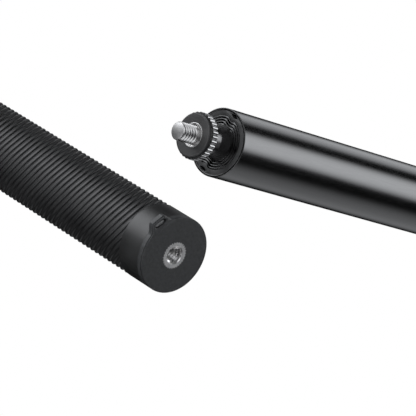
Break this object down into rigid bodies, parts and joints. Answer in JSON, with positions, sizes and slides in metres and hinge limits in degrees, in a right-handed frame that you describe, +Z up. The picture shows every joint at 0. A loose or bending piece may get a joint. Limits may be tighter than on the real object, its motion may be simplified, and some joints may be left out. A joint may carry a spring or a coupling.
{
  "type": "boom pole",
  "caption": "Telescopic boom pole, collapsed, with a slant-ribbed grip, a threaded butt, a lanyard ear, keyed sliding sections and a screw tip turned by a thumb wheel.",
  "frame": {"origin": "middle of the butt face, in the mouth of the butt thread", "axes": "+X along the pole from butt to tip, +Z up through the lanyard ear"},
  "size_m": [0.4204, 0.0288, 0.0317],
  "materials": {
    "tube_anodised": "satin black anodised",
    "grip_rubber": "matt moulded rubber",
    "cap_plastic": "fine spark-eroded matt",
    "collar_plastic": "smooth matt moulding",
    "liner_plastic": "low-friction liner",
    "guide_plastic": "natural acetal",
    "neck_gloss": "polished black",
    "wheel_metal": "matt black, machined",
    "insert_steel": "turned, bright",
    "steel": "plain spring steel",
    "plug_aluminium": "turned",
    "bumper_rubber": "soft foam rubber"
  },
  "bodies": {
    "handle": {"butt_cap": "cap_plastic", "butt_plug": "plug_aluminium", "plug_pin": "steel", "butt_thread_insert": "insert_steel", "butt_bumper": "bumper_rubber", "outer_tube": "tube_anodised", "grip_sleeve": "grip_rubber", "mouth_collar": "collar_plastic"},
    "section_2": {"section_2_tube": "tube_anodised", "section_2_tail": "guide_plastic", "section_2_bush": "liner_plastic"},
    "section_3": {"section_3_tube": "tube_anodised", "section_3_tail": "guide_plastic", "section_3_bush": "liner_plastic"},
    "section_4": {"section_4_tube": "tube_anodised", "section_4_tail": "guide_plastic", "section_4_bush": "liner_plastic"},
    "section_5": {"section_5_tube": "tube_anodised", "section_5_tail": "guide_plastic", "tip_neck": "neck_gloss"},
    "tip_screw": {"tip_stud": "insert_steel", "thumb_wheel": "wheel_metal", "retaining_clip": "steel", "spring_washer": "steel"}
  },
  "joints": [
    {"name": "section_2_slide", "type": "slide", "parent": "handle", "child": "section_2", "axis": [1, 0, 0], "range_m": [0, 0.313]},
    {"name": "section_3_slide", "type": "slide", "parent": "section_2", "child": "section_3", "axis": [1, 0, 0], "range_m": [0, 0.313]},
    {"name": "section_4_slide", "type": "slide", "parent": "section_3", "child": "section_4", "axis": [1, 0, 0], "range_m": [0, 0.313]},
    {"name": "section_5_slide", "type": "slide", "parent": "section_4", "child": "section_5", "axis": [1, 0, 0], "range_m": [0, 0.313]},
    {"name": "tip_screw_turn", "type": "hinge", "parent": "section_5", "child": "tip_screw", "pos_m": [0.4, 0, 0], "axis": [1, 0, 0], "continuous": true}
  ]
}
